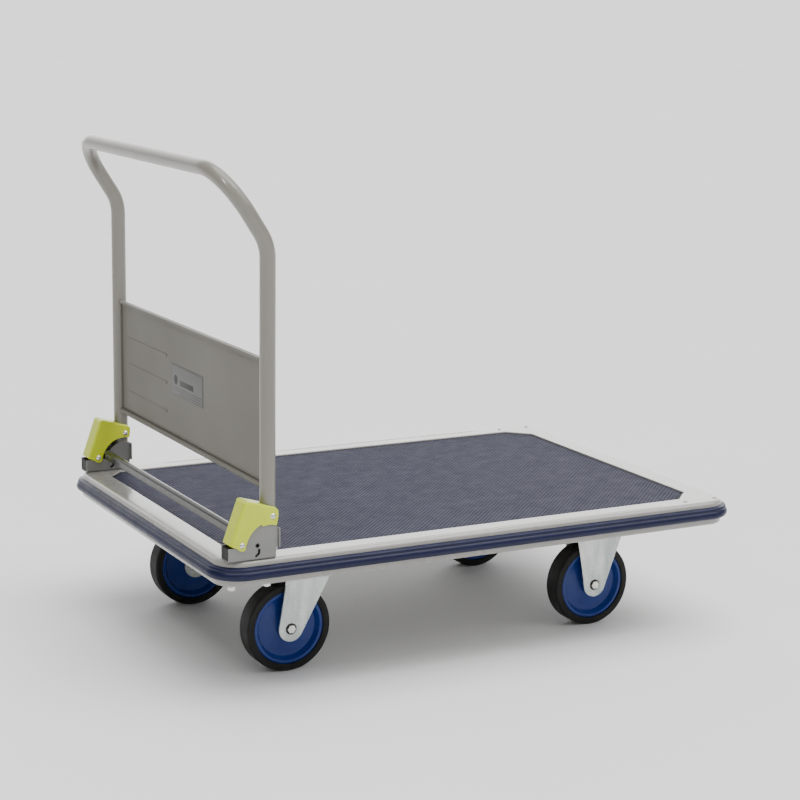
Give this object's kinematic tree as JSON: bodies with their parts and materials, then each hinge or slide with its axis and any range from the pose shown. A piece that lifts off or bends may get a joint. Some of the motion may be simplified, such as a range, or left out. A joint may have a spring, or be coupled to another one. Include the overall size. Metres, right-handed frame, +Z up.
{
  "type": "folding platform cart",
  "caption": "Flat platform cart with a fold-down tubular push handle, kick panel, foot release bar, bumper strip and castors.",
  "frame": {"origin": "on the floor under the middle of the platform", "axes": "+X points away from the handle along the deck, +Y is the far side, +Z up; the handle stands at -X"},
  "size_m": [1.0596, 0.7576, 0.9119],
  "materials": {
    "deck_paint": "semi-gloss baked enamel",
    "ribbed_mat": "matt, fine diagonal ribs",
    "bumper_rubber": "satin moulded strip",
    "black_rubber": "matt",
    "handle_paint": "gloss baked enamel",
    "blank_plate": "blank foil plate",
    "zinc_plate": "bright zinc plating",
    "bright_steel": "machined steel",
    "cover_plastic": "moulded, satin",
    "tyre_rubber": "matt",
    "wheel_blue": "moulded, satin"
  },
  "bodies": {
    "platform": {"deck_pan": "deck_paint", "deck_mat": "ribbed_mat", "bumper_strip": "bumper_rubber", "rear_cross_rails": "deck_paint", "front_cross_rails": "deck_paint", "centre_stiffener": "deck_paint", "rim_rivets": "deck_paint", "hinge_bracket_near": "zinc_plate", "hinge_bracket_far": "zinc_plate", "stop_buffer_near": "black_rubber", "stop_buffer_far": "black_rubber", "pivot_pins": "bright_steel", "latch_pins": "bright_steel", "latch_spring_near": "bright_steel", "latch_spring_far": "bright_steel", "bracket_bolts": "zinc_plate", "bracket_nuts": "zinc_plate", "bracket_spacers": "bright_steel", "swivel_plate_near": "zinc_plate", "swivel_plate_far": "zinc_plate", "swivel_balls": "bright_steel", "king_bolts": "zinc_plate", "rigid_fork_near": "zinc_plate", "rigid_fork_far": "zinc_plate", "front_axle_bolts": "zinc_plate", "castor_bolts": "zinc_plate", "castor_nuts": "zinc_plate"},
    "handle": {"handle_tube": "handle_paint", "handle_panel": "handle_paint", "panel_label": "blank_plate", "hinge_knuckle_near": "bright_steel", "hinge_knuckle_far": "bright_steel", "stop_arm_near": "bright_steel", "stop_arm_far": "bright_steel", "hinge_cover_near": "cover_plastic", "hinge_cover_far": "cover_plastic", "cover_bolts": "zinc_plate"},
    "release_bar": {"release_rod": "bright_steel", "release_sleeve": "zinc_plate", "latch_lever_near": "bright_steel", "latch_lever_far": "bright_steel"},
    "swivel_near": {"swivel_fork_near": "zinc_plate", "rear_axle_near": "zinc_plate"},
    "swivel_far": {"swivel_fork_far": "zinc_plate", "rear_axle_far": "zinc_plate"},
    "wheel_rear_near": {"tyre_rear_near": "tyre_rubber", "wheel_core_rear_near": "wheel_blue", "wheel_bearing_rear_near": "bright_steel"},
    "wheel_rear_far": {"tyre_rear_far": "tyre_rubber", "wheel_core_rear_far": "wheel_blue", "wheel_bearing_rear_far": "bright_steel"},
    "wheel_front_near": {"tyre_front_near": "tyre_rubber", "wheel_core_front_near": "wheel_blue", "wheel_bearing_front_near": "bright_steel"},
    "wheel_front_far": {"tyre_front_far": "tyre_rubber", "wheel_core_front_far": "wheel_blue", "wheel_bearing_front_far": "bright_steel"}
  },
  "joints": [
    {"name": "handle_fold", "type": "hinge", "parent": "platform", "child": "handle", "pos_m": [-0.43, 0, 0.27], "axis": [0, 1, 0], "range_deg": [0, 90]},
    {"name": "release_press", "type": "hinge", "parent": "platform", "child": "release_bar", "pos_m": [-0.455, 0, 0.2764], "axis": [0, -1, 0], "range_deg": [0, 12], "stiffness_Nm_per_rad": 2, "springref_deg": -14.32},
    {"name": "castor_swivel_near", "type": "hinge", "parent": "platform", "child": "swivel_near", "pos_m": [-0.301, -0.219, 0.19], "axis": [0, 0, 1], "continuous": true},
    {"name": "wheel_spin_rear_near", "type": "hinge", "parent": "swivel_near", "child": "wheel_rear_near", "pos_m": [-0.337, -0.219, 0.08], "axis": [0, 1, 0], "continuous": true},
    {"name": "wheel_spin_front_near", "type": "hinge", "parent": "platform", "child": "wheel_front_near", "pos_m": [0.2976, -0.219, 0.08], "axis": [0, 1, 0], "continuous": true},
    {"name": "castor_swivel_far", "type": "hinge", "parent": "platform", "child": "swivel_far", "pos_m": [-0.301, 0.219, 0.19], "axis": [0, 0, 1], "continuous": true},
    {"name": "wheel_spin_rear_far", "type": "hinge", "parent": "swivel_far", "child": "wheel_rear_far", "pos_m": [-0.337, 0.219, 0.08], "axis": [0, 1, 0], "continuous": true},
    {"name": "wheel_spin_front_far", "type": "hinge", "parent": "platform", "child": "wheel_front_far", "pos_m": [0.2976, 0.219, 0.08], "axis": [0, 1, 0], "continuous": true}
  ]
}
